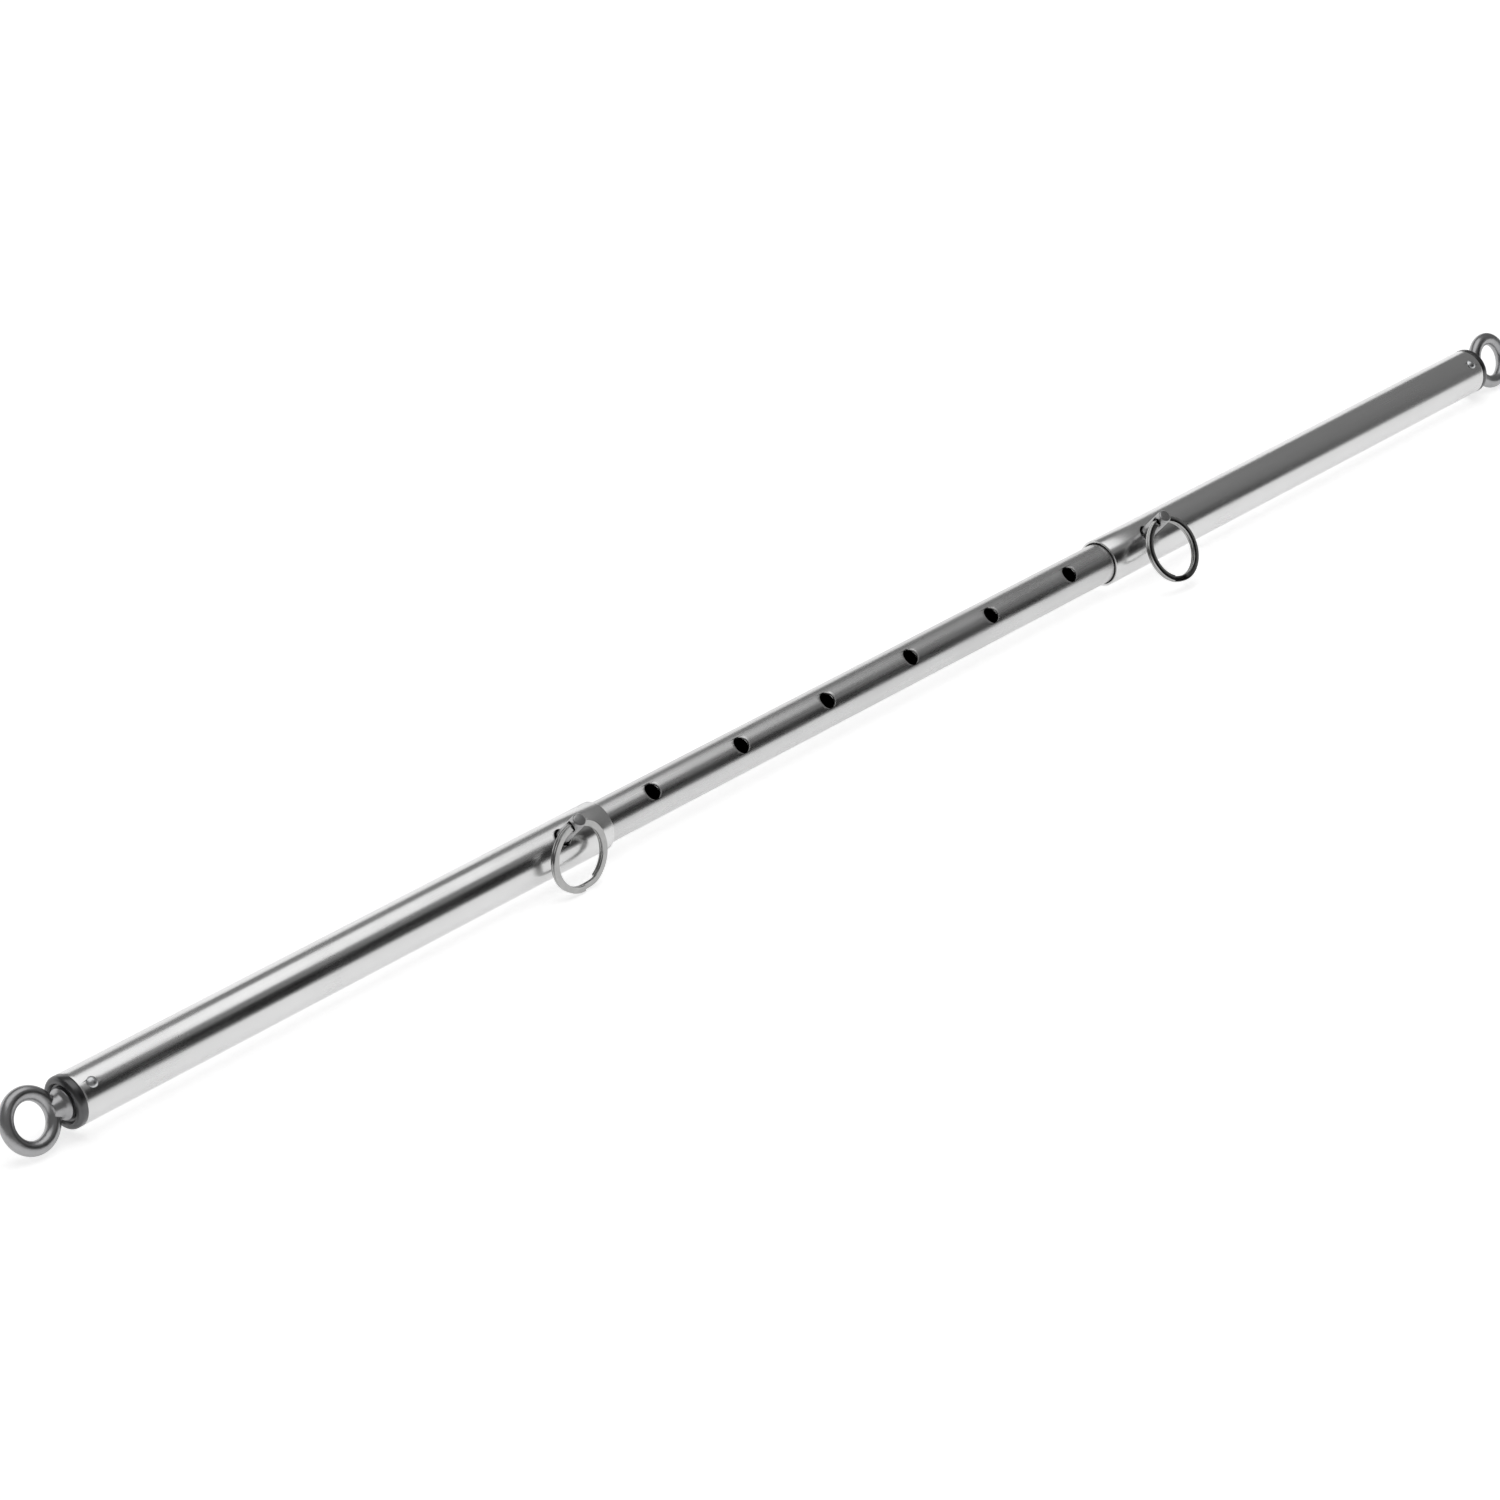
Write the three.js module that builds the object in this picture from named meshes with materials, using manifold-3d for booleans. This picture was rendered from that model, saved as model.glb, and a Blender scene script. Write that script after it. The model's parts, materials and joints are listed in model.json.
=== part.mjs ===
// Telescopic spreader bar: an inner tube with a row of holes, an outer tube over each of its
// ends, a ring-pull locking pin through each outer tube and an eye bolt in each end plug.
// Millimetres. The bar lies along X, its axis is the X axis, and +Z is up.
import * as THREE from 'three';
import { mergeVertices } from 'three/addons/utils/BufferGeometryUtils.js';
import Module from 'manifold-3d';

const wasm = await Module();
wasm.setup();

const degrees = Math.PI / 180;

// Tubes
const outerTubeDiameter = 22.2;
const tubeWall = 1.2;
const slideFit = 0.4;
const outerTubeLength = 293;
const tubeRound = 0.4;

// Row of holes in the inner tube: the first and the last are the ones under the pins
const holePitch = 56;
const holeCount = 8;
const holeToTubeEnd = 14;
const pinToMouth = 27;

// How the bar lies: the holes look up and to the front by this turn about the bar
const barTurn = 40 * degrees;

// Locking pins and their pull rings
const pinDiameter = 6.2;
const pinFit = 0.65;
const pinStandOut = 15.4;
const pinChamfer = 0.5;
const pinSeatGap = 0.4;
const crossHoleBelowTop = 4.5;
const ringDiameter = 31.4;
const ringBand = 2.8;
const ringCoil = 1.2;
const ringCoilGap = 0.1;
const ringChamfer = 0.25;
const ringFit = 0.42;
const ringStep = 30 * degrees;
const ringLean = { left: -131 * degrees, right: 107 * degrees };

// End plugs, their rivets, and the eye bolts with a washer and a lock nut
const plugFlange = 4;
const plugFlangeRound = 1.9;
const plugLand = 0.6;
const plugDish = 1.6;
const plugDishSlope = 0.85;
const plugSpigot = 18;
const plugChamfer = 1;
const plugFit = 0.1;
const rivetInset = 6;
const rivetDiameter = 3;
const rivetHeadDiameter = 5;
const rivetHeadHeight = 1.1;
const rivetHeadGap = 0.05;
const rivetEndGap = 1;
const rivetFit = 0.1;
const eyeDiameter = 27.6;
const eyeSection = 6.2;
const eyeGap = 2.2;
const eyeTurn = { left: -21 * degrees, right: 26 * degrees };
const neckDiameter = 8;
const neckFootInset = 1.55;
const neckFootHeight = 1;
const neckIntoEye = 1;
const collarGap = 1;
const collarHeight = 2.2;
const collarChamfer = 0.4;
const shankDiameter = 6;
const shankFit = 0.15;
const shankChamfer = 0.6;
const washerGap = 1.9;
const washerThickness = 1.6;
const nutAcrossFlats = 10;
const nutHeight = 6;
const shankPastNut = 3;

// Plastic caps in the ends of the inner tube
const capFlange = 2;
const capSpigot = 11;
const capTaper = 1.5;
const capRimStep = 0.2;
const capEdge = 0.6;
const capFit = 0.1;

const outerRadius = outerTubeDiameter / 2;
const boreRadius = outerRadius - tubeWall;
const innerRadius = boreRadius - slideFit;
const innerBoreRadius = innerRadius - tubeWall;
const pinX = (holePitch * (holeCount - 1)) / 2;
const innerTubeHalf = pinX + holeToTubeEnd;
const mouthX = pinX - pinToMouth;
const tubeEndX = mouthX + outerTubeLength;
const flangeX = tubeEndX + plugFlange;
const eyeX = flangeX + eyeGap + eyeDiameter / 2;
const holeDiameter = pinDiameter + 2 * pinFit;
const pinTop = outerRadius + pinStandOut;
const crossHoleZ = pinTop - crossHoleBelowTop;
const crossHoleDiameter = Math.hypot(2 * ringCoil + ringCoilGap, ringBand) + 2 * ringFit;
const plugLandRadius = outerRadius - plugFlangeRound - plugLand;
const plugDishRadius = plugLandRadius - plugDishSlope;
const collarRadius = plugDishRadius - collarGap;
const shankHoleRadius = shankDiameter / 2 + shankFit;
const rivetX = tubeEndX - rivetInset;
const rivetHoleDiameter = rivetDiameter + 2 * rivetFit;

const steel = new THREE.MeshStandardMaterial({ color: '#c9ccd0', roughness: 0.14, metalness: 1 });
const innerSteel = new THREE.MeshStandardMaterial({ color: '#b9bdc2', roughness: 0.2, metalness: 1 });
const forged = new THREE.MeshStandardMaterial({ color: '#8f9398', roughness: 0.38, metalness: 1 });
const plugSteel = new THREE.MeshStandardMaterial({ color: '#5d6166', roughness: 0.35, metalness: 1 });
const pinSteel = new THREE.MeshStandardMaterial({ color: '#a5a8ac', roughness: 0.25, metalness: 1 });
const ringSteel = new THREE.MeshStandardMaterial({ color: '#9a9da1', roughness: 0.3, metalness: 1 });
const zinc = new THREE.MeshStandardMaterial({ color: '#b4b8ba', roughness: 0.45, metalness: 1 });
const nylon = new THREE.MeshStandardMaterial({ color: '#26282b', roughness: 0.6, metalness: 0 });

// ---- solids ----

function solid(geometry) {
  const bare = geometry.clone();
  bare.deleteAttribute('normal');
  bare.deleteAttribute('uv');
  const merged = mergeVertices(bare, 1e-4);
  return new wasm.Manifold(new wasm.Mesh({
    numProp: 3,
    vertProperties: new Float32Array(merged.attributes.position.array),
    triVerts: new Uint32Array(merged.index.array),
  }));
}

function geometryOf(manifold) {
  const mesh = manifold.getMesh();
  const geometry = new THREE.BufferGeometry();
  geometry.setAttribute('position', new THREE.BufferAttribute(mesh.vertProperties, 3));
  geometry.setIndex(new THREE.BufferAttribute(mesh.triVerts, 1));
  const flat = geometry.toNonIndexed();
  flat.computeVertexNormals();
  return flat;
}

// A profile of [distance along the axis, radius] points turned about X
function turnedAboutX(profile, segments) {
  const points = profile.map(([along, radius]) => new THREE.Vector2(radius, along));
  return new THREE.LatheGeometry(points, segments).rotateZ(-Math.PI / 2);
}

function turnedAboutZ(profile, segments) {
  const points = profile.map(([along, radius]) => new THREE.Vector2(radius, along));
  return new THREE.LatheGeometry(points, segments).rotateX(Math.PI / 2);
}

// A round bar along Z or X, for pins, shanks and the holes cut for them
function roundAlongZ(diameter, length, x, z) {
  return new THREE.CylinderGeometry(diameter / 2, diameter / 2, length, 24)
    .rotateX(Math.PI / 2)
    .translate(x, 0, z);
}

function roundAlongX(diameter, length, x, z) {
  return new THREE.CylinderGeometry(diameter / 2, diameter / 2, length, 24)
    .rotateZ(Math.PI / 2)
    .translate(x, 0, z);
}

// A tube along X with a small round at each end's outer and inner edge
function tube(radius, wall, start, end) {
  const bore = radius - wall;
  const profile = [
    [start, bore + tubeRound], [start, radius - tubeRound], [start + tubeRound, radius],
    [end - tubeRound, radius], [end, radius - tubeRound], [end, bore + tubeRound],
    [end - tubeRound, bore], [start + tubeRound, bore], [start, bore + tubeRound],
  ];
  return solid(turnedAboutX(profile, 56));
}

function named(name, geometry, material) {
  const mesh = new THREE.Mesh(geometry, material);
  mesh.name = name;
  return mesh;
}

// ---- inner tube and its caps ----

function innerTube() {
  let body = tube(innerRadius, tubeWall, -innerTubeHalf, innerTubeHalf);
  for (let index = 0; index < holeCount; index += 1) {
    const x = index * holePitch - pinX;
    body = body.subtract(solid(roundAlongZ(holeDiameter, outerTubeDiameter * 2, x, 0)));
  }
  return geometryOf(body);
}

function innerCap() {
  const spigotRadius = innerBoreRadius - capFit;
  const start = innerTubeHalf - capSpigot;
  const end = innerTubeHalf + capFlange;
  const rim = innerRadius - capRimStep;
  const profile = [
    [start, 0], [start, spigotRadius - capTaper / 2], [start + capTaper, spigotRadius],
    [innerTubeHalf, spigotRadius], [innerTubeHalf, rim], [end - capEdge, rim],
    [end, rim - capEdge], [end, 0],
  ];
  return turnedAboutX(profile, 32);
}

// ---- one side of the bar, built pointing to +X ----

function outerTube() {
  const pinHole = roundAlongZ(holeDiameter, outerTubeDiameter * 2, pinX, 0);
  const rivetHole = roundAlongZ(rivetHoleDiameter, outerTubeDiameter * 2, rivetX, 0);
  const body = tube(outerRadius, tubeWall, mouthX, tubeEndX);
  return geometryOf(body.subtract(solid(pinHole)).subtract(solid(rivetHole)));
}

function endPlug() {
  const spigotRadius = boreRadius - plugFit;
  const spigotStart = tubeEndX - plugSpigot;
  const edge = [];
  for (let step = 0; step <= 5; step += 1) {
    const angle = (step / 5) * 90 * degrees;
    edge.push([
      flangeX - plugFlangeRound + plugFlangeRound * Math.sin(angle),
      outerRadius - plugFlangeRound + plugFlangeRound * Math.cos(angle),
    ]);
  }
  const profile = [
    [spigotStart, shankHoleRadius], [spigotStart, spigotRadius - plugChamfer],
    [spigotStart + plugChamfer, spigotRadius], [tubeEndX, spigotRadius], [tubeEndX, outerRadius],
    ...edge,
    [flangeX, plugLandRadius], [flangeX - plugDish, plugDishRadius],
    [flangeX - plugDish, shankHoleRadius], [spigotStart, shankHoleRadius],
  ];
  const rivetHole = roundAlongZ(rivetHoleDiameter, outerTubeDiameter * 2, rivetX, 0);
  return geometryOf(solid(turnedAboutX(profile, 56)).subtract(solid(rivetHole)));
}

// A dome-headed rivet through the tube's wall into the plug; it stands along +Z
function plugRivet() {
  const headBottom = outerRadius + rivetHeadGap;
  const headRadius = rivetHeadDiameter / 2;
  const tail = shankHoleRadius + rivetEndGap;
  const profile = [
    [tail, 0], [tail, rivetDiameter / 2],
    [headBottom, rivetDiameter / 2], [headBottom, headRadius],
  ];
  for (let step = 1; step <= 4; step += 1) {
    const angle = (step / 4) * 90 * degrees;
    profile.push([
      headBottom + rivetHeadHeight * Math.sin(angle),
      step === 4 ? 0 : headRadius * Math.cos(angle),
    ]);
  }
  return turnedAboutZ(profile, 16);
}

function eyeBolt(turn) {
  const ringRadius = (eyeDiameter - eyeSection) / 2;
  const eye = new THREE.TorusGeometry(ringRadius, eyeSection / 2, 16, 40)
    .rotateX(turn)
    .translate(eyeX, 0, 0);
  const seat = flangeX - plugDish;
  const neckEnd = eyeX - ringRadius;
  const shankStart = tubeEndX - plugSpigot - washerThickness - nutHeight - shankPastNut;
  const shankRadius = shankDiameter / 2;
  const collarTop = seat + collarHeight;
  const neck = turnedAboutX([
    [shankStart, 0], [shankStart, shankRadius - shankChamfer],
    [shankStart + shankChamfer, shankRadius], [seat, shankRadius],
    [seat, collarRadius - collarChamfer], [seat + collarChamfer, collarRadius],
    [collarTop - collarChamfer, collarRadius], [collarTop, collarRadius - collarChamfer],
    [collarTop + neckFootHeight, collarRadius - neckFootInset],
    [neckEnd + neckIntoEye, neckDiameter / 2], [neckEnd + neckIntoEye, 0],
  ], 32);
  return geometryOf(solid(eye).add(solid(neck)));
}

function washer() {
  const end = tubeEndX - plugSpigot;
  const start = end - washerThickness;
  const rim = boreRadius - washerGap;
  return turnedAboutX([
    [start, shankHoleRadius], [start, rim], [end, rim], [end, shankHoleRadius],
    [start, shankHoleRadius],
  ], 32);
}

function lockNut() {
  const end = tubeEndX - plugSpigot - washerThickness;
  const body = new THREE.CylinderGeometry(
    nutAcrossFlats / Math.sqrt(3), nutAcrossFlats / Math.sqrt(3), nutHeight, 6,
  ).rotateZ(Math.PI / 2).translate(end - nutHeight / 2, 0, 0);
  const bore = roundAlongX(2 * shankHoleRadius, nutHeight * 3, end, 0);
  return geometryOf(solid(body).subtract(solid(bore)));
}

// The shank stops just above the inner tube, so that the outer tube can slide with the pin in
function lockingPin() {
  const radius = pinDiameter / 2;
  const tip = innerRadius + pinSeatGap;
  const shank = turnedAboutZ([
    [tip, 0], [tip, radius - pinChamfer], [tip + pinChamfer, radius],
    [pinTop - pinChamfer, radius], [pinTop, radius - pinChamfer], [pinTop, 0],
  ], 32);
  const crossHole = roundAlongX(crossHoleDiameter, pinDiameter * 3, 0, crossHoleZ);
  return geometryOf(solid(shank).subtract(solid(crossHole)));
}

// Two flat coils of one strip with a step between them. The ring stands in XZ with its lowest
// point on the axis that it swings about, and its ends and its step at the top.
class CoilPath extends THREE.Curve {
  getPoint(share) {
    const turn = share * (720 * degrees - ringStep);
    const radius = (ringDiameter - ringBand) / 2;
    const layer = (ringCoil + ringCoilGap) / 2;
    const stepStart = 360 * degrees - ringStep;
    const rise = THREE.MathUtils.smoothstep(turn, stepStart, stepStart + ringStep);
    return new THREE.Vector3(
      radius * Math.sin(turn),
      layer * (2 * rise - 1),
      radius + radius * Math.cos(turn),
    );
  }
}

function pullRing() {
  const halfCoil = ringCoil / 2;
  const halfBand = ringBand / 2;
  const section = new THREE.Shape();
  section.moveTo(-halfCoil + ringChamfer, -halfBand);
  section.lineTo(halfCoil - ringChamfer, -halfBand);
  section.lineTo(halfCoil, -halfBand + ringChamfer);
  section.lineTo(halfCoil, halfBand - ringChamfer);
  section.lineTo(halfCoil - ringChamfer, halfBand);
  section.lineTo(-halfCoil + ringChamfer, halfBand);
  section.lineTo(-halfCoil, halfBand - ringChamfer);
  section.lineTo(-halfCoil, -halfBand + ringChamfer);
  section.closePath();
  return new THREE.ExtrudeGeometry(section, { steps: 66, extrudePath: new CoilPath() });
}

function side(name) {
  const group = new THREE.Group();
  group.name = `${name}_side`;
  const backRivet = named(`${name}_plug_rivet_back`, plugRivet(), zinc);
  const frontRivet = named(`${name}_plug_rivet_front`, plugRivet(), zinc);
  frontRivet.position.x = rivetX;
  backRivet.position.x = rivetX;
  backRivet.rotation.x = Math.PI;
  const pin = named(`${name}_locking_pin`, lockingPin(), pinSteel);
  pin.position.x = pinX;
  const ring = named(`${name}_pin_ring`, pullRing(), ringSteel);
  ring.position.set(pinX, 0, crossHoleZ);
  ring.rotation.x = ringLean[name];
  group.add(
    named(`${name}_outer_tube`, outerTube(), steel),
    named(`${name}_end_plug`, endPlug(), plugSteel),
    frontRivet,
    backRivet,
    named(`${name}_eye_bolt`, eyeBolt(eyeTurn[name]), forged),
    named(`${name}_eye_washer`, washer(), zinc),
    named(`${name}_lock_nut`, lockNut(), zinc),
    pin,
    ring,
  );
  return group;
}

const bar = new THREE.Group();
bar.name = 'spreader_bar';
bar.rotation.x = barTurn;
bar.add(named('inner_tube', innerTube(), innerSteel));
const rightCap = named('inner_tube_right_cap', innerCap(), nylon);
const leftCap = named('inner_tube_left_cap', innerCap(), nylon);
leftCap.rotation.z = Math.PI;
bar.add(rightCap, leftCap);
const left = side('left');
left.rotation.z = Math.PI;
bar.add(left, side('right'));

export default bar;
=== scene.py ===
import json
import math

import bpy
from mathutils import Matrix, Vector


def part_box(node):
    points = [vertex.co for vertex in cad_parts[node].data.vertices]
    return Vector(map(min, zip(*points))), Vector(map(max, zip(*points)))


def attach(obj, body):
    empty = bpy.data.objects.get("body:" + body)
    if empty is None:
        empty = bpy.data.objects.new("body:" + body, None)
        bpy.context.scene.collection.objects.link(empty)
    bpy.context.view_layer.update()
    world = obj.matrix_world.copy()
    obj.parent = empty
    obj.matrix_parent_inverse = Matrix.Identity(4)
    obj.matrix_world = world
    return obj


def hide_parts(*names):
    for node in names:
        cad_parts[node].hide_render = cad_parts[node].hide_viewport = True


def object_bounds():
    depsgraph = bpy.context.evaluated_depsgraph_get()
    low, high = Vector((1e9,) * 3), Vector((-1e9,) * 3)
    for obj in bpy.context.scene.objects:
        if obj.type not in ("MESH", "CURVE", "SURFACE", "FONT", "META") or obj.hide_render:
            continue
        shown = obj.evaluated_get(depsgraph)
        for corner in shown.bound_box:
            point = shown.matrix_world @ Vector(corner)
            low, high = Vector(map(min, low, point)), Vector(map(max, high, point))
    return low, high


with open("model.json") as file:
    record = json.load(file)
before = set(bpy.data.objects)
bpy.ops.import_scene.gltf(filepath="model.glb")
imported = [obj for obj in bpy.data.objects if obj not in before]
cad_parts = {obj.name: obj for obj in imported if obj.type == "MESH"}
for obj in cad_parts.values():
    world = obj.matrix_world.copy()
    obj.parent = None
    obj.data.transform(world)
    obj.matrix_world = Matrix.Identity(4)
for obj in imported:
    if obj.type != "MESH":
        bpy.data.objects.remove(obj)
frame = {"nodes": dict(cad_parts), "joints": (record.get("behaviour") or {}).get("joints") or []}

cad_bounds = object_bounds()
bpy.ops.object.select_all(action="DESELECT")
MM = 0.001


# ---- How the bar lies ----
# Every piece is shaped along X with the pin holes looking up, the way it would lie on a bench.
# It is then turned about the bar's own axis, so that its holes look the way the frame's pins pull.

joints = {joint["name"]: joint for joint in frame["joints"]}
pull_axis = Vector(joints["right_pin_pull"]["axis"])
bar_turn = Matrix.Rotation(math.atan2(-pull_axis.y, pull_axis.z), 4, "X")
side_turn = {"left": Matrix.Rotation(math.pi, 4, "Z"), "right": Matrix.Identity(4)}
SIDES = ("left", "right")


def put(piece, matrix):
    """Turns and moves a piece, and works its place into its mesh."""
    bpy.ops.object.select_all(action="DESELECT")
    bpy.context.view_layer.objects.active = piece
    piece.select_set(True)
    piece.matrix_world = matrix @ piece.matrix_world
    bpy.ops.object.transform_apply(location=True, rotation=True, scale=True)
    piece.select_set(False)


def finish_piece(piece, name, body, node):
    """Names a finished piece and ties it to the frame."""
    piece.name = name
    piece.data.name = name
    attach(piece, body)
    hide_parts(node)


# ---- Inner tube ----
# Drawn steel tube with a row of eight holes drilled through both walls, polished and chromed.
# It is the middle of the bar: both outer tubes slide on it and are pinned to its holes.

INNER_DIAMETER = 19 * MM
WALL = 1.2 * MM
HOLE_DIAMETER = 7.5 * MM
HOLE_COUNT = 8
EDGE_BREAK = 0.45 * MM
BORE_BAND = 0.1 * MM
HOLE_MARGIN = 1 * MM
MERGE_DISTANCE = 0.002 * MM
DRILL_SIDES = 64
INNER_SIDES = 224
EDGE_STEPS = 2
SHARPEST_BEND = math.radians(40)
SMOOTHEST_BEND = math.radians(30)
pin_x = joints["right_ring_swing"]["pos_m"][0]
hole_pitch = 2 * pin_x / (HOLE_COUNT - 1)
inner_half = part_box("inner_tube")[1].x


def turned(profile, sides):
    """A piece turned about X, from its closed profile of (along X, radius) points."""
    bpy.ops.mesh.primitive_plane_add(size=1 * MM, location=(0, 0, 0))
    piece = bpy.context.object
    bpy.ops.object.mode_set(mode="EDIT")
    bpy.ops.mesh.select_mode(type="VERT")
    bpy.ops.mesh.select_all(action="SELECT")
    bpy.ops.mesh.merge(type="CENTER")
    along, radius = profile[0]
    bpy.ops.transform.translate(value=(along, 0, radius))
    for next_along, next_radius in profile[1:] + profile[:1]:
        step = (next_along - along, 0, next_radius - radius)
        bpy.ops.mesh.extrude_region_move(TRANSFORM_OT_translate={"value": step})
        along, radius = next_along, next_radius
    bpy.ops.mesh.select_all(action="SELECT")
    bpy.ops.mesh.remove_doubles(threshold=MERGE_DISTANCE)
    bpy.ops.mesh.spin(steps=sides, angle=math.tau, center=(0, 0, 0), axis=(1, 0, 0))
    bpy.ops.mesh.select_all(action="SELECT")
    bpy.ops.mesh.remove_doubles(threshold=MERGE_DISTANCE)
    bpy.ops.mesh.normals_make_consistent(inside=False)
    bpy.ops.object.mode_set(mode="OBJECT")
    return piece


def round_bar(diameter, length, location, turn=(0, 0, 0)):
    """A drill for cutting holes."""
    bpy.ops.object.select_all(action="DESELECT")
    bpy.ops.mesh.primitive_cylinder_add(
        vertices=DRILL_SIDES, radius=diameter / 2, depth=length, location=location, rotation=turn,
    )
    return bpy.context.object


def apply_modifier(piece, kind, **settings):
    """Adds one modifier with its settings, and works it into the mesh."""
    bpy.ops.object.select_all(action="DESELECT")
    bpy.context.view_layer.objects.active = piece
    piece.select_set(True)
    modifier = piece.modifiers.new(kind.lower(), kind)
    for setting, value in settings.items():
        setattr(modifier, setting, value)
    bpy.ops.object.modifier_apply(modifier=modifier.name)
    piece.select_set(False)


def drill(piece, cutter):
    """Cuts a drill's shape out of a piece, and puts the drill away."""
    apply_modifier(piece, "BOOLEAN", object=cutter, operation="DIFFERENCE", solver="EXACT")
    bpy.data.objects.remove(cutter)


def break_edges(piece, width):
    """Rounds the sharp edges and smooths the rest."""
    apply_modifier(
        piece, "BEVEL", width=width, segments=EDGE_STEPS, limit_method="ANGLE",
        angle_limit=SHARPEST_BEND, use_clamp_overlap=False, harden_normals=False,
    )
    smooth(piece)


def smooth(piece):
    """Shades a piece smooth, but for its sharp edges."""
    bpy.ops.object.select_all(action="DESELECT")
    bpy.context.view_layer.objects.active = piece
    piece.select_set(True)
    bpy.ops.object.shade_smooth_by_angle(angle=SMOOTHEST_BEND)
    piece.select_set(False)


def tube_profile(start, end, radius, hole_places):
    """Both walls of a tube, with a ring of points on each side of every hole."""
    margin = HOLE_DIAMETER / 2 + HOLE_MARGIN
    rings = sorted(place + side * margin for place in hole_places for side in (-1, 1))
    outside = [(along, radius) for along in rings]
    inside = [(along, radius - WALL) for along in reversed(rings)]
    return (
        [(start, radius - WALL), (start, radius)] + outside
        + [(end, radius), (end, radius - WALL)] + inside
    )


def bare_and_shaded_bore(piece, bore_radius):
    """Gives the faces of a tube's bore its second material: the steel that plating doesn't reach,
    painted dark as the shade inside the tube.
    """
    for face in piece.data.polygons:
        middle = Vector((0, face.center.y, face.center.z))
        if middle.length < bore_radius + BORE_BAND and face.normal.dot(middle) < 0:
            face.material_index = 1


hole_places = [index * hole_pitch - pin_x for index in range(HOLE_COUNT)]
inner_profile = tube_profile(-inner_half, inner_half, INNER_DIAMETER / 2, hole_places)
inner_tube = turned(inner_profile, INNER_SIDES)
for place in hole_places:
    drill(inner_tube, round_bar(HOLE_DIAMETER, 2 * INNER_DIAMETER, (place, 0, 0)))
break_edges(inner_tube, EDGE_BREAK)


def linear(hex_colour):
    """An sRGB hex colour as the linear RGBA that shaders take."""
    channels = [int(hex_colour[start:start + 2], 16) / 255 for start in (1, 3, 5)]
    return [
        value / 12.92 if value <= 0.04045 else ((value + 0.055) / 1.055) ** 2.4
        for value in channels
    ] + [1.0]


def new_material(name):
    material = bpy.data.materials.new(name)
    material.use_nodes = True
    material.node_tree.nodes.clear()
    return material


def add(material, kind, inputs=None, **settings):
    """One node, with its settings, and its inputs as values or as the sockets they come from."""
    added = material.node_tree.nodes.new(kind)
    for setting, value in settings.items():
        setattr(added, setting, value)
    for socket, value in (inputs or {}).items():
        if isinstance(value, bpy.types.NodeSocket):
            material.node_tree.links.new(value, added.inputs[socket])
        else:
            added.inputs[socket].default_value = value
    return added


HAZE_SIZE = 45 * MM
POLISH_LINE = 0.7 * MM
LINE_SQUEEZE = 0.02
LINE_SHARE = 0.35


def chrome(name, bright, dull, low, high, line_depth):
    """Chrome plate on drawn tube: a mirror with a faint haze from handling, and polishing lines
    that run along the tube. The real lines are 0.1 mm wide and are drawn 0.7 mm wide, to show."""
    material = new_material(name)
    place = add(material, "ShaderNodeTexCoord").outputs["Object"]
    haze = add(material, "ShaderNodeTexNoise", {"Vector": place, "Scale": 1 / HAZE_SIZE,
                                                "Detail": 5.0, "Roughness": 0.6})
    along = add(material, "ShaderNodeMapping", {"Vector": place, "Scale": (LINE_SQUEEZE, 1, 1)})
    lines = add(material, "ShaderNodeTexNoise", {"Vector": along.outputs[0],
                                                 "Scale": 1 / POLISH_LINE, "Detail": 2.0})
    both = add(material, "ShaderNodeMix", {0: LINE_SHARE, 2: haze.outputs["Fac"],
                                           3: lines.outputs["Fac"]})
    gloss = add(material, "ShaderNodeMapRange", {"Value": both.outputs[0], "From Min": 0.3,
                                                 "From Max": 0.7, "To Min": low, "To Max": high})
    tint = add(material, "ShaderNodeMix", {0: haze.outputs["Fac"], 6: linear(bright),
                                           7: linear(dull)}, data_type="RGBA")
    relief = add(material, "ShaderNodeBump", {"Height": lines.outputs["Fac"], "Strength": 0.5,
                                              "Distance": line_depth})
    surface = add(material, "ShaderNodeBsdfPrincipled", {
        "Base Color": tint.outputs[2], "Metallic": 1.0, "Roughness": gloss.outputs[0],
        "Normal": relief.outputs[0],
    })
    add(material, "ShaderNodeOutputMaterial", {"Surface": surface.outputs[0]})
    return material


# Chrome rubbed by the outer tubes: greyer and hazier, so that it mirrors softly
inner_chrome = chrome("worn_chrome_plate", "#CDCDCD", "#BEBEBE", 0.22, 0.33, 0.003 * MM)

# Unplated mill steel inside the tubes: dull and a little brown, and painted darker than bare steel as
# painted shade, so that the holes look black
MILL_SCALE_SIZE = 4 * MM
bore_steel_and_painted_shade = new_material("bare_mill_steel_bore_painted_shade")
bore_place = add(bore_steel_and_painted_shade, "ShaderNodeTexCoord").outputs["Object"]
scale_spots = add(bore_steel_and_painted_shade, "ShaderNodeTexNoise", {"Vector": bore_place, "Scale": 1 / MILL_SCALE_SIZE,
                                                     "Detail": 4.0})
# Painted shade: both tones are near black and stand in for the shade inside the tube seen through its
# holes
bore_tint_painted_shade = add(bore_steel_and_painted_shade, "ShaderNodeMix", {0: scale_spots.outputs["Fac"],
                                              6: linear("#2A2826"), 7: linear("#3A3632")},
                data_type="RGBA")
bore_relief = add(bore_steel_and_painted_shade, "ShaderNodeBump", {"Height": scale_spots.outputs["Fac"],
                                                 "Distance": 0.03 * MM})
bore_surface = add(bore_steel_and_painted_shade, "ShaderNodeBsdfPrincipled", {
    "Base Color": bore_tint_painted_shade.outputs[2], "Metallic": 0.7, "Roughness": 0.6,
    "Normal": bore_relief.outputs[0],
})
add(bore_steel_and_painted_shade, "ShaderNodeOutputMaterial", {"Surface": bore_surface.outputs[0]})

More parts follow.
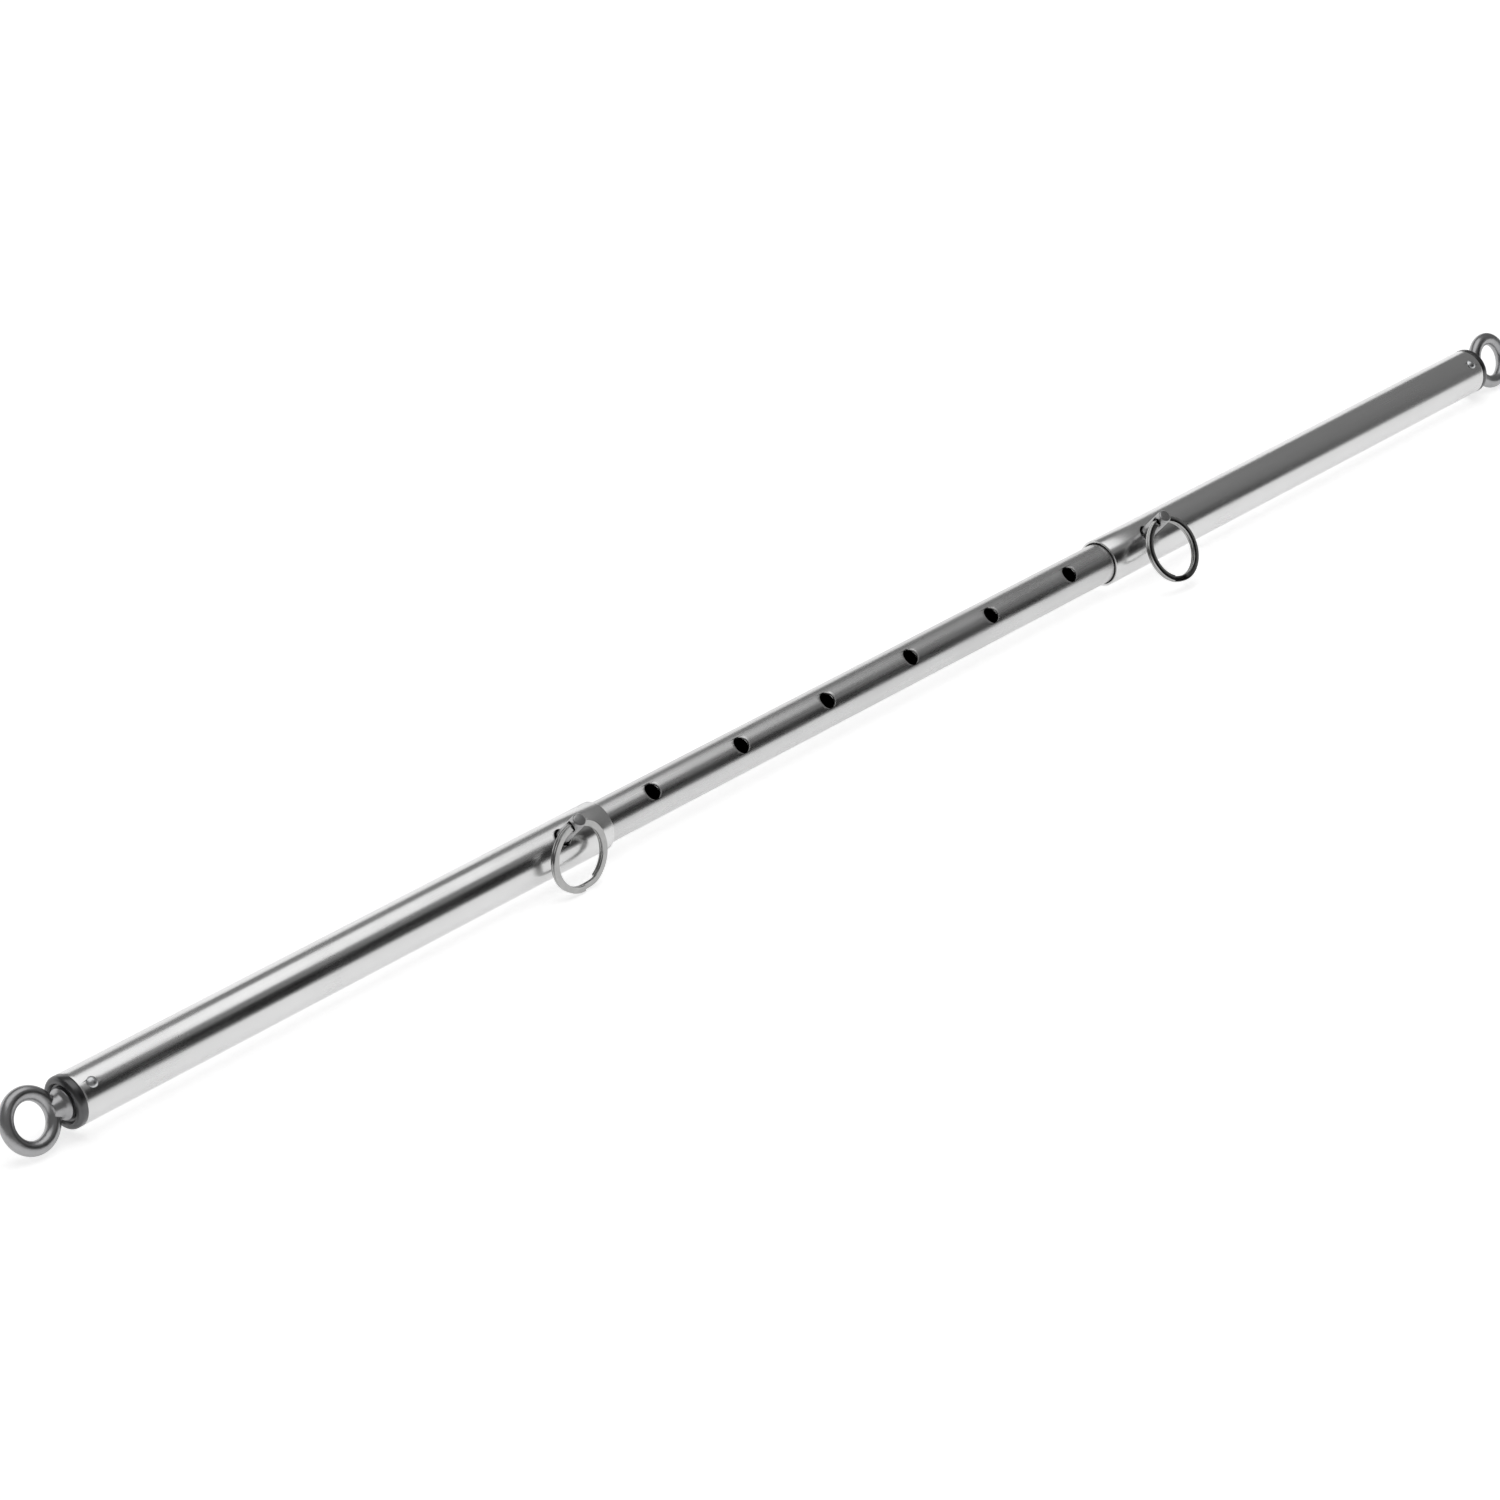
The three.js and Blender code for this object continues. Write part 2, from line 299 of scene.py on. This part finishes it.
inner_tube.data.materials.append(inner_chrome)
inner_tube.data.materials.append(bore_steel_and_painted_shade)
bare_and_shaded_bore(inner_tube, INNER_DIAMETER / 2 - WALL)
put(inner_tube, bar_turn)
finish_piece(inner_tube, "inner_tube_visual", "inner_bar", "inner_tube")


# ---- Caps of the inner tube ----
# Moulded black nylon plugs that guide the inner tube's ends in the outer tubes. They keep the
# frame's shape.

# Moulded nylon, dyed black: a low sheen with scuffs, and the mould's 0.1 mm grain drawn at 0.4 mm
NYLON_GRAIN = 0.4 * MM
NYLON_SCUFF = 5 * MM
nylon = new_material("moulded_black_nylon")
nylon_place = add(nylon, "ShaderNodeTexCoord").outputs["Object"]
grain = add(nylon, "ShaderNodeTexNoise", {"Vector": nylon_place, "Scale": 1 / NYLON_GRAIN,
                                          "Detail": 3.0})
scuffs = add(nylon, "ShaderNodeTexNoise", {"Vector": nylon_place, "Scale": 1 / NYLON_SCUFF,
                                           "Detail": 4.0})
nylon_tint = add(nylon, "ShaderNodeMix", {0: scuffs.outputs["Fac"], 6: linear("#202124"),
                                          7: linear("#2E3033")}, data_type="RGBA")
nylon_gloss = add(nylon, "ShaderNodeMapRange", {"Value": scuffs.outputs["Fac"],
                                                "To Min": 0.45, "To Max": 0.7})
nylon_relief = add(nylon, "ShaderNodeBump", {"Height": grain.outputs["Fac"],
                                             "Distance": 0.02 * MM})
nylon_surface = add(nylon, "ShaderNodeBsdfPrincipled", {
    "Base Color": nylon_tint.outputs[2], "Roughness": nylon_gloss.outputs[0],
    "Normal": nylon_relief.outputs[0], "IOR": 1.53,
})
add(nylon, "ShaderNodeOutputMaterial", {"Surface": nylon_surface.outputs[0]})


def repaint(node, material):
    """A new material on a CAD node that keeps its shape."""
    materials = frame["nodes"][node].data.materials
    materials.clear()
    materials.append(material)


for side in SIDES:
    repaint(f"inner_tube_{side}_cap", nylon)


# ---- Outer tubes ----
# Chromed steel tubes that slide on the inner tube. Each has one pair of holes for its locking
# pin near its mouth, and one pair near its outer end for the rivets that hold the plug.

OUTER_DIAMETER = 22.2 * MM
RIVET_HOLE = 3.2 * MM
RIVET_INSET = 6 * MM
OUTER_SIDES = 256
mouth_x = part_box("right_outer_tube")[0].x
tube_end_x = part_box("right_outer_tube")[1].x
rivet_x = tube_end_x - RIVET_INSET


def copy_of(piece):
    """A copy with a mesh of its own."""
    twin = piece.copy()
    twin.data = piece.data.copy()
    bpy.context.scene.collection.objects.link(twin)
    return twin


# Chrome that nothing has slid on: brighter than the inner tube's, with shallower polishing lines
outer_chrome = chrome("bright_chrome_plate", "#D8D8D8", "#CCCCCC", 0.20, 0.30, 0.002 * MM)
outer_profile = tube_profile(mouth_x, tube_end_x, OUTER_DIAMETER / 2, [pin_x, rivet_x])
outer_tube = turned(outer_profile, OUTER_SIDES)
drill(outer_tube, round_bar(HOLE_DIAMETER, 2 * OUTER_DIAMETER, (pin_x, 0, 0)))
drill(outer_tube, round_bar(RIVET_HOLE, 2 * OUTER_DIAMETER, (rivet_x, 0, 0)))
break_edges(outer_tube, EDGE_BREAK)
outer_tube.data.materials.append(outer_chrome)
outer_tube.data.materials.append(bore_steel_and_painted_shade)
bare_and_shaded_bore(outer_tube, OUTER_DIAMETER / 2 - WALL)
for side, piece in zip(SIDES, (outer_tube, copy_of(outer_tube))):
    put(piece, bar_turn @ side_turn[side])
    finish_piece(
        piece, f"{side}_outer_tube_visual", f"{side}_end", f"{side}_outer_tube",
    )


# ---- End plugs ----
# Turned steel plugs pressed into the outer ends of the tubes. The flange is rounded over at its
# rim and dished round the eye bolt, and the lathe's fine rings are left in its dark oiled finish.

FLANGE_ROUND = 1.9 * MM
DISH_DEPTH = 1.6 * MM
SPIGOT_LENGTH = 18 * MM
SPIGOT_FIT = 0.1 * MM
SPIGOT_CHAMFER = 1 * MM
DISH_LIP_DEPTH = 0.6 * MM
DISH_LIP_WIDTH = 1.45 * MM
SHANK_HOLE = 6.3 * MM
PLUG_EDGE_BREAK = 0.15 * MM
PLUG_SIDES = 160
flange_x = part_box("right_end_plug")[1].x
dish_x = flange_x - DISH_DEPTH


def rounded(centre_along, centre_radius, round_radius, start, end, steps=8):
    """Points round part of a circle in a profile. 0 degrees is along X and 90 is outwards."""
    angles = [math.radians(start + (end - start) * step / steps) for step in range(steps + 1)]
    return [
        (centre_along + round_radius * math.cos(angle),
         centre_radius + round_radius * math.sin(angle))
        for angle in angles
    ]


outer_radius = OUTER_DIAMETER / 2
spigot_radius = outer_radius - WALL - SPIGOT_FIT
rim_centre = outer_radius - FLANGE_ROUND
spigot_x = tube_end_x - SPIGOT_LENGTH
plug_profile = (
    [(spigot_x, SHANK_HOLE / 2), (spigot_x, spigot_radius - SPIGOT_CHAMFER),
     (spigot_x + SPIGOT_CHAMFER, spigot_radius), (tube_end_x, spigot_radius),
     (tube_end_x, outer_radius)]
    + rounded(flange_x - FLANGE_ROUND, rim_centre, FLANGE_ROUND, 90, 0)
    + [(flange_x, rim_centre - DISH_LIP_DEPTH), (dish_x, rim_centre - DISH_LIP_WIDTH),
       (dish_x, SHANK_HOLE / 2)]
)
end_plug = turned(plug_profile, PLUG_SIDES)
drill(end_plug, round_bar(RIVET_HOLE, 2 * OUTER_DIAMETER, (rivet_x, 0, 0)))
break_edges(end_plug, PLUG_EDGE_BREAK)

# Dark oiled steel from the lathe: it shines in patches where the oil film is thick. The cutting
# rings are 0.25 mm apart and are drawn at 0.5 mm, to show.
OIL_PATCH = 6 * MM
LATHE_RING = 0.5 * MM
plug_steel = new_material("turned_oiled_steel")
plug_place = add(plug_steel, "ShaderNodeTexCoord").outputs["Object"]
oil_film = add(plug_steel, "ShaderNodeTexNoise", {"Vector": plug_place, "Scale": 1 / OIL_PATCH,
                                                  "Detail": 5.0})
plug_split = add(plug_steel, "ShaderNodeSeparateXYZ", {"Vector": plug_place})
plug_across = add(plug_steel, "ShaderNodeCombineXYZ", {"Y": plug_split.outputs["Y"],
                                                       "Z": plug_split.outputs["Z"]})
plug_radius = add(plug_steel, "ShaderNodeVectorMath", {0: plug_across.outputs[0]},
                  operation="LENGTH")
lathe_angle = add(plug_steel, "ShaderNodeMath", {0: plug_radius.outputs["Value"],
                                                 1: math.tau / LATHE_RING}, operation="MULTIPLY")
lathe_rings = add(plug_steel, "ShaderNodeMath", {0: lathe_angle.outputs[0]}, operation="SINE")
plug_tint = add(plug_steel, "ShaderNodeMix", {0: oil_film.outputs["Fac"], 6: linear("#4C4C4D"),
                                              7: linear("#6C6C6D")}, data_type="RGBA")
plug_gloss = add(plug_steel, "ShaderNodeMapRange", {"Value": oil_film.outputs["Fac"],
                                                    "To Min": 0.22, "To Max": 0.42})
plug_relief = add(plug_steel, "ShaderNodeBump", {"Height": lathe_rings.outputs[0],
                                                 "Strength": 0.4, "Distance": 0.008 * MM})
plug_surface = add(plug_steel, "ShaderNodeBsdfPrincipled", {
    "Base Color": plug_tint.outputs[2], "Metallic": 1.0, "Roughness": plug_gloss.outputs[0],
    "Normal": plug_relief.outputs[0],
})
add(plug_steel, "ShaderNodeOutputMaterial", {"Surface": plug_surface.outputs[0]})

end_plug.data.materials.append(plug_steel)
for side, piece in zip(SIDES, (end_plug, copy_of(end_plug))):
    put(piece, bar_turn @ side_turn[side])
    finish_piece(
        piece, f"{side}_end_plug_visual", f"{side}_end", f"{side}_end_plug",
    )


# ---- Plug rivets ----
# Zinc-plated dome-head rivets, two to a side, driven through the tube's wall into the plug so
# that it can't pull out.

RIVET_DIAMETER = 3 * MM
RIVET_HEAD_DIAMETER = 5 * MM
RIVET_HEAD_HEIGHT = 1.1 * MM
RIVET_LENGTH = 7 * MM
RIVET_HEAD_GAP = 0.05 * MM
RIVET_EDGE_BREAK = 0.1 * MM
RIVET_SIDES = 64
DOME_STEPS = 10
head_bottom = outer_radius + RIVET_HEAD_GAP
head_radius = RIVET_HEAD_DIAMETER / 2
head_sphere = (head_radius ** 2 + RIVET_HEAD_HEIGHT ** 2) / (2 * RIVET_HEAD_HEIGHT)
head_half_angle = math.degrees(math.asin(head_radius / head_sphere))
head_centre = head_bottom + RIVET_HEAD_HEIGHT - head_sphere
rivet = turned(
    [(head_bottom - RIVET_LENGTH, 0), (head_bottom - RIVET_LENGTH, RIVET_DIAMETER / 2),
     (head_bottom, RIVET_DIAMETER / 2)]
    + rounded(head_centre, 0, head_sphere, head_half_angle, 0, DOME_STEPS),
    RIVET_SIDES,
)
break_edges(rivet, RIVET_EDGE_BREAK)

# Bright zinc plate: pale and slightly blue, with the cloudy bloom that the plating bath leaves
BLOOM_SIZE = 1.5 * MM
zinc_plate = new_material("bright_zinc_plate")
zinc_place = add(zinc_plate, "ShaderNodeTexCoord").outputs["Object"]
bloom = add(zinc_plate, "ShaderNodeTexNoise", {"Vector": zinc_place, "Scale": 1 / BLOOM_SIZE,
                                               "Detail": 4.0})
zinc_tint = add(zinc_plate, "ShaderNodeMix", {0: bloom.outputs["Fac"], 6: linear("#D2D3D4"),
                                              7: linear("#B2B4B6")}, data_type="RGBA")
zinc_gloss = add(zinc_plate, "ShaderNodeMapRange", {"Value": bloom.outputs["Fac"],
                                                    "To Min": 0.22, "To Max": 0.42})
zinc_surface = add(zinc_plate, "ShaderNodeBsdfPrincipled", {
    "Base Color": zinc_tint.outputs[2], "Metallic": 1.0, "Roughness": zinc_gloss.outputs[0],
})
add(zinc_plate, "ShaderNodeOutputMaterial", {"Surface": zinc_surface.outputs[0]})
rivet.data.materials.append(zinc_plate)

# The rivet is turned about X, so a quarter turn stands it up in its hole, or hangs it below
stand_up = {
    "front": Matrix.Rotation(-math.pi / 2, 4, "Y"),
    "back": Matrix.Rotation(math.pi / 2, 4, "Y"),
}
for side in SIDES:
    for face in ("front", "back"):
        piece = copy_of(rivet)
        at_hole = Matrix.Translation((rivet_x, 0, 0))
        put(piece, bar_turn @ side_turn[side] @ at_hole @ stand_up[face])
        finish_piece(
            piece, f"{side}_plug_rivet_{face}_visual", f"{side}_end",
            f"{side}_plug_rivet_{face}",
        )
bpy.data.objects.remove(rivet)


# ---- Eye bolts ----
# Drop-forged steel eye bolts, plated and tumbled. The eye, its flared neck, the collar that sits
# in the plug's dish and the shank are one forging, fused here into one skin with soft fillets.

EYE_DIAMETER = 27.6 * MM
EYE_SECTION = 6.2 * MM
NECK_DIAMETER = 8 * MM
NECK_FOOT_DIAMETER = 10.4 * MM
COLLAR_DIAMETER = 13.5 * MM
COLLAR_HEIGHT = 2.2 * MM
COLLAR_CHAMFER = 0.4 * MM
SHANK_DIAMETER = 6 * MM
SHANK_CHAMFER = 0.6 * MM
NECK_FOOT_RISE = 1 * MM
NECK_IN_EYE = 1 * MM
BOLT_SIDES = 96
FORGING_SKIN = 0.28 * MM
EYE_TURN = {"left": math.radians(-21), "right": math.radians(26)}
eye_radius = (EYE_DIAMETER - EYE_SECTION) / 2
eye_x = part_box("right_eye_bolt")[1].x - EYE_DIAMETER / 2
shank_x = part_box("right_eye_bolt")[0].x
collar_x = dish_x + COLLAR_HEIGHT
neck_end = eye_x - eye_radius + NECK_IN_EYE
shank_radius = SHANK_DIAMETER / 2
collar_radius = COLLAR_DIAMETER / 2

eye_bolt = turned(
    [(shank_x, 0), (shank_x, shank_radius - SHANK_CHAMFER),
     (shank_x + SHANK_CHAMFER, shank_radius), (dish_x, shank_radius), (dish_x, collar_radius),
     (collar_x - COLLAR_CHAMFER, collar_radius), (collar_x, collar_radius - COLLAR_CHAMFER),
     (collar_x + NECK_FOOT_RISE, NECK_FOOT_DIAMETER / 2), (neck_end, NECK_DIAMETER / 2),
     (neck_end, 0)],
    BOLT_SIDES,
)
bpy.ops.object.select_all(action="DESELECT")
bpy.ops.mesh.primitive_torus_add(
    major_radius=eye_radius, minor_radius=EYE_SECTION / 2, major_segments=128, minor_segments=48,
    location=(eye_x, 0, 0),
)
eye = bpy.context.object
eye.select_set(True)
eye_bolt.select_set(True)
bpy.context.view_layer.objects.active = eye_bolt
bpy.ops.object.join()
apply_modifier(eye_bolt, "REMESH", mode="VOXEL", voxel_size=FORGING_SKIN, use_smooth_shade=True)
apply_modifier(eye_bolt, "SMOOTH", factor=0.5, iterations=5)

# Forged steel under thin plate: satin, with the shallow dimples that tumbling leaves, 1 to 3 mm
DIMPLE_SIZE = 2.2 * MM
PATCH_SIZE = 9 * MM
forged_steel = new_material("forged_plated_steel")
forged_place = add(forged_steel, "ShaderNodeTexCoord").outputs["Object"]
dimples = add(forged_steel, "ShaderNodeTexNoise", {"Vector": forged_place, "Scale": 1 / DIMPLE_SIZE,
                                                   "Detail": 3.0, "Roughness": 0.45})
patches = add(forged_steel, "ShaderNodeTexNoise", {"Vector": forged_place, "Scale": 1 / PATCH_SIZE,
                                                   "Detail": 5.0, "Roughness": 0.6})
forged_tint = add(forged_steel, "ShaderNodeMix", {0: patches.outputs["Fac"], 6: linear("#8E8E8F"),
                                                  7: linear("#B4B4B5")}, data_type="RGBA")
forged_gloss = add(forged_steel, "ShaderNodeMapRange", {"Value": patches.outputs["Fac"],
                                                        "To Min": 0.24, "To Max": 0.42})
forged_relief = add(forged_steel, "ShaderNodeBump", {"Height": dimples.outputs["Fac"],
                                                     "Strength": 0.6, "Distance": 0.12 * MM})
forged_surface = add(forged_steel, "ShaderNodeBsdfPrincipled", {
    "Base Color": forged_tint.outputs[2], "Metallic": 1.0, "Roughness": forged_gloss.outputs[0],
    "Normal": forged_relief.outputs[0],
})
add(forged_steel, "ShaderNodeOutputMaterial", {"Surface": forged_surface.outputs[0]})
eye_bolt.data.materials.append(forged_steel)

# A torus is added lying flat, which is the eye turned by nothing about the bolt
for side, piece in zip(SIDES, (eye_bolt, copy_of(eye_bolt))):
    put(piece, bar_turn @ side_turn[side] @ Matrix.Rotation(EYE_TURN[side], 4, "X"))
    finish_piece(
        piece, f"{side}_eye_bolt_visual", f"{side}_end", f"{side}_eye_bolt",
    )


# ---- Washers and lock nuts ----
# Zinc-plated steel hardware on the eye bolts' shanks, out of sight behind the plugs. It keeps
# the frame's shape.

for side in SIDES:
    repaint(f"{side}_eye_washer", zinc_plate)
    repaint(f"{side}_lock_nut", zinc_plate)


# ---- Locking pins ----
# Ground steel pins with chamfered ends, cross-drilled near the top for the pull rings. Each stands
# in its outer tube's hole, with its tip just clear of the inner tube, and is pulled straight out.

PIN_DIAMETER = 6.2 * MM
PIN_CHAMFER = 0.5 * MM
CROSS_HOLE = 4.6 * MM
PIN_TOP = 26.5 * MM
CROSS_HOLE_BELOW_TOP = 4.5 * MM
PIN_SEAT_GAP = 0.4 * MM
PIN_EDGE_BREAK = 0.12 * MM
PIN_SIDES = 96
pin_tip = INNER_DIAMETER / 2 + PIN_SEAT_GAP
cross_hole_z = PIN_TOP - CROSS_HOLE_BELOW_TOP
pin_radius = PIN_DIAMETER / 2

pin = turned(
    [(pin_tip, 0), (pin_tip, pin_radius - PIN_CHAMFER), (pin_tip + PIN_CHAMFER, pin_radius),
     (PIN_TOP - PIN_CHAMFER, pin_radius), (PIN_TOP, pin_radius - PIN_CHAMFER), (PIN_TOP, 0)],
    PIN_SIDES,
)
drill(pin, round_bar(CROSS_HOLE, 3 * PIN_DIAMETER, (cross_hole_z, 0, 0), (math.pi / 2, 0, 0)))
break_edges(pin, PIN_EDGE_BREAK)

# Ground bar: a grinder's fine grain, 0.1 mm across and drawn at 0.4 mm, greyer where it is worn
WEAR_SIZE = 3 * MM
GRINDING_GRAIN = 0.4 * MM
ground_steel = new_material("ground_bar_steel")
ground_place = add(ground_steel, "ShaderNodeTexCoord").outputs["Object"]
wear = add(ground_steel, "ShaderNodeTexNoise", {"Vector": ground_place, "Scale": 1 / WEAR_SIZE,
                                                "Detail": 5.0})
ground_grain = add(ground_steel, "ShaderNodeTexNoise", {"Vector": ground_place,
                                                        "Scale": 1 / GRINDING_GRAIN,
                                                        "Detail": 2.0})
ground_tint = add(ground_steel, "ShaderNodeMix", {0: wear.outputs["Fac"], 6: linear("#B0B0B0"),
                                                  7: linear("#8C8C8D")}, data_type="RGBA")
ground_gloss = add(ground_steel, "ShaderNodeMapRange", {"Value": wear.outputs["Fac"],
                                                        "To Min": 0.2, "To Max": 0.38})
ground_relief = add(ground_steel, "ShaderNodeBump", {"Height": ground_grain.outputs["Fac"],
                                                     "Strength": 0.4, "Distance": 0.01 * MM})
ground_surface = add(ground_steel, "ShaderNodeBsdfPrincipled", {
    "Base Color": ground_tint.outputs[2], "Metallic": 1.0, "Roughness": ground_gloss.outputs[0],
    "Normal": ground_relief.outputs[0],
})
add(ground_steel, "ShaderNodeOutputMaterial", {"Surface": ground_surface.outputs[0]})
pin.data.materials.append(ground_steel)

# The pin is turned about X with its cross hole across; it stands up with the hole along the bar
upright_pin = Matrix.Rotation(math.pi / 2, 4, "Z") @ Matrix.Rotation(-math.pi / 2, 4, "Y")
for side, piece in zip(SIDES, (pin, copy_of(pin))):
    put(piece, bar_turn @ side_turn[side] @ Matrix.Translation((pin_x, 0, 0)) @ upright_pin)
    finish_piece(
        piece, f"{side}_locking_pin_visual", f"{side}_pin", f"{side}_locking_pin",
    )


# ---- Pull rings ----
# Split rings wound from flat nickel-plated spring strip: two coils that lie on each other, with
# one step over from the first to the second. They hang in the pins' cross holes.

RING_DIAMETER = 31.4 * MM
STRIP_WIDTH = 2.8 * MM
STRIP_THICKNESS = 1.2 * MM
STRIP_CORNER = 0.28 * MM
CORNER_STEPS = 3
COIL_GAP = 0.1 * MM
STEP_ANGLE = 30
WINDING_STEP = 3
ring_radius = (RING_DIAMETER - STRIP_WIDTH) / 2
coil_rise = STRIP_THICKNESS + COIL_GAP
flat_angle = 360 - STEP_ANGLE
step_count = STEP_ANGLE // WINDING_STEP

bpy.ops.object.select_all(action="DESELECT")
bpy.ops.mesh.primitive_plane_add(
    size=1, location=(0, -coil_rise / 2, 2 * ring_radius), rotation=(0, math.pi / 2, 0),
)
ring = bpy.context.object
bpy.ops.object.mode_set(mode="EDIT")
bpy.ops.mesh.select_all(action="SELECT")
bpy.ops.transform.resize(value=(1, STRIP_THICKNESS, STRIP_WIDTH))
bpy.ops.mesh.bevel(offset=STRIP_CORNER, segments=CORNER_STEPS, affect="VERTICES")
bpy.ops.mesh.select_all(action="SELECT")
about_ring = {"center": (0, 0, ring_radius), "axis": (0, 1, 0)}
flat_coil = {"steps": flat_angle // WINDING_STEP, "angle": math.radians(-flat_angle), **about_ring}
bpy.ops.mesh.spin(**flat_coil)
for step in range(step_count):
    shares = (step / step_count, (step + 1) / step_count)
    rise = [share * share * (3 - 2 * share) * coil_rise for share in shares]
    bpy.ops.mesh.spin(steps=1, angle=math.radians(-WINDING_STEP), **about_ring)
    bpy.ops.transform.translate(value=(0, rise[1] - rise[0], 0))
bpy.ops.mesh.spin(**flat_coil)
bpy.ops.mesh.select_all(action="SELECT")
bpy.ops.mesh.remove_doubles(threshold=MERGE_DISTANCE)
bpy.ops.mesh.normals_make_consistent(inside=False)
bpy.ops.object.mode_set(mode="OBJECT")
smooth(ring)

# Nickel plate on spring strip: a little warmer and softer than chrome, dulled in spots by rubbing
RUB_SIZE = 4 * MM
nickel = new_material("nickel_plated_spring_steel")
nickel_place = add(nickel, "ShaderNodeTexCoord").outputs["Object"]
rubs = add(nickel, "ShaderNodeTexNoise", {"Vector": nickel_place, "Scale": 1 / RUB_SIZE,
                                          "Detail": 6.0, "Roughness": 0.65})
nickel_tint = add(nickel, "ShaderNodeMix", {0: rubs.outputs["Fac"], 6: linear("#BCBCBB"),
                                            7: linear("#8C8C8C")}, data_type="RGBA")
nickel_gloss = add(nickel, "ShaderNodeMapRange", {"Value": rubs.outputs["Fac"],
                                                  "To Min": 0.10, "To Max": 0.24})
nickel_relief = add(nickel, "ShaderNodeBump", {"Height": rubs.outputs["Fac"],
                                               "Strength": 0.3, "Distance": 0.02 * MM})
nickel_surface = add(nickel, "ShaderNodeBsdfPrincipled", {
    "Base Color": nickel_tint.outputs[2], "Metallic": 1.0, "Roughness": nickel_gloss.outputs[0],
    "Normal": nickel_relief.outputs[0],
})
add(nickel, "ShaderNodeOutputMaterial", {"Surface": nickel_surface.outputs[0]})
ring.data.materials.append(nickel)

for side, piece in zip(SIDES, (ring, copy_of(ring))):
    low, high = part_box(f"{side}_pin_ring")
    hinge = Vector(joints[f"{side}_ring_swing"]["pos_m"])
    from_hinge = (low + high) / 2 - hinge
    lean = Matrix.Rotation(math.atan2(-from_hinge.y, from_hinge.z), 4, "X")
    put(piece, Matrix.Translation(hinge) @ lean @ side_turn[side])
    finish_piece(piece, f"{side}_pin_ring_visual", f"{side}_ring", f"{side}_pin_ring")


# ---- Floor and light ----
# A plain white floor that glows a little, like a lit table, so that shadows on it stay faint.
# A softbox hangs over the bar, a wide light stands low behind it, and a dark card stands in
# front, to give the tubes their dark streak.

FLOOR_DROP = 0.5 * MM
FLOOR_SIZE = 40
TABLE_GLOW = 0.62
SOFTBOX_PLACE = (0.1, 0.1, 1.5)
SOFTBOX_SIZE = (2.2, 1.4)
SOFTBOX_WATTS = 11
BACK_LIGHT_PLACE = (0.8, 2.4, 0.6)
BACK_LIGHT_SIZE = (6, 1.4)
BACK_LIGHT_WATTS = 26
CARD_PLACE = (1.1, -1.5, 0.78)
CARD_SIZE = (1.8, 1.3, 1)
ROOM_LIGHT = 0.22
floor_z = cad_bounds[0][2] - FLOOR_DROP
bpy.ops.object.select_all(action="DESELECT")
bpy.ops.mesh.primitive_plane_add(size=FLOOR_SIZE, location=(0, 0, floor_z))
floor = bpy.context.object
floor.name = "floor"

# White acrylic lit from below: matt and near white, with a glow that thins the shadows
white_table = new_material("lit_white_table")
table_colour = add(white_table, "ShaderNodeBsdfDiffuse", {"Color": linear("#F0F0F0")})
table_glow = add(white_table, "ShaderNodeEmission", {"Color": linear("#FFFFFF"),
                                                     "Strength": TABLE_GLOW})
table_both = add(white_table, "ShaderNodeAddShader", {0: table_colour.outputs[0],
                                                      1: table_glow.outputs[0]})
add(white_table, "ShaderNodeOutputMaterial", {"Surface": table_both.outputs[0]})
floor.data.materials.append(white_table)



def soft_light(name, place, turn, size, watts):
    """A rectangular light that the camera doesn't see."""
    bpy.ops.object.light_add(type="AREA", location=place, rotation=turn)
    light = bpy.context.object
    light.name = name
    light.data.shape = "RECTANGLE"
    light.data.size, light.data.size_y = size
    light.data.energy = watts
    light.visible_camera = False


soft_light("softbox", SOFTBOX_PLACE, (0, 0, 0), SOFTBOX_SIZE, SOFTBOX_WATTS)
soft_light("back_light", BACK_LIGHT_PLACE, (-math.pi / 2, 0, 0), BACK_LIGHT_SIZE, BACK_LIGHT_WATTS)

bpy.ops.mesh.primitive_plane_add(size=1, location=CARD_PLACE, rotation=(math.pi / 2, 0, 0))
card = bpy.context.object
card.name = "dark_card"
card.scale = CARD_SIZE
card.visible_camera = False
card.visible_shadow = False

# Black card: matt and nearly black, seen only as the dark streak along the chrome
black_card = new_material("black_card")
card_colour = add(black_card, "ShaderNodeBsdfDiffuse", {"Color": linear("#101010")})
add(black_card, "ShaderNodeOutputMaterial", {"Surface": card_colour.outputs[0]})
card.data.materials.append(black_card)

world = bpy.data.worlds.new("studio")
world.use_nodes = True
world.node_tree.nodes["Background"].inputs["Color"].default_value = linear("#FFFFFF")
world.node_tree.nodes["Background"].inputs["Strength"].default_value = ROOM_LIGHT
bpy.context.scene.world = world
bpy.context.scene.view_settings.view_transform = "Standard"


# ---- Camera ----
# A long lens from the near left end, above the bar and looking down along it.

CAMERA_DISTANCE = 2.306
CAMERA_AIM = Vector((-0.0416, 0.0273, -0.0240))
CAMERA_HEADING = math.radians(48.1)
CAMERA_ELEVATION = math.radians(27.95)
LENS = 125.6
FILM_WIDTH = 36
looking = Vector((
    math.cos(CAMERA_ELEVATION) * math.sin(CAMERA_HEADING),
    math.cos(CAMERA_ELEVATION) * math.cos(CAMERA_HEADING),
    -math.sin(CAMERA_ELEVATION),
))
bpy.ops.object.camera_add(location=CAMERA_AIM - CAMERA_DISTANCE * looking)
camera = bpy.context.object
camera.rotation_euler = looking.to_track_quat("-Z", "Y").to_euler()
camera.data.lens = LENS
camera.data.sensor_width = FILM_WIDTH
bpy.context.scene.camera = camera

bpy.context.view_layer.update()
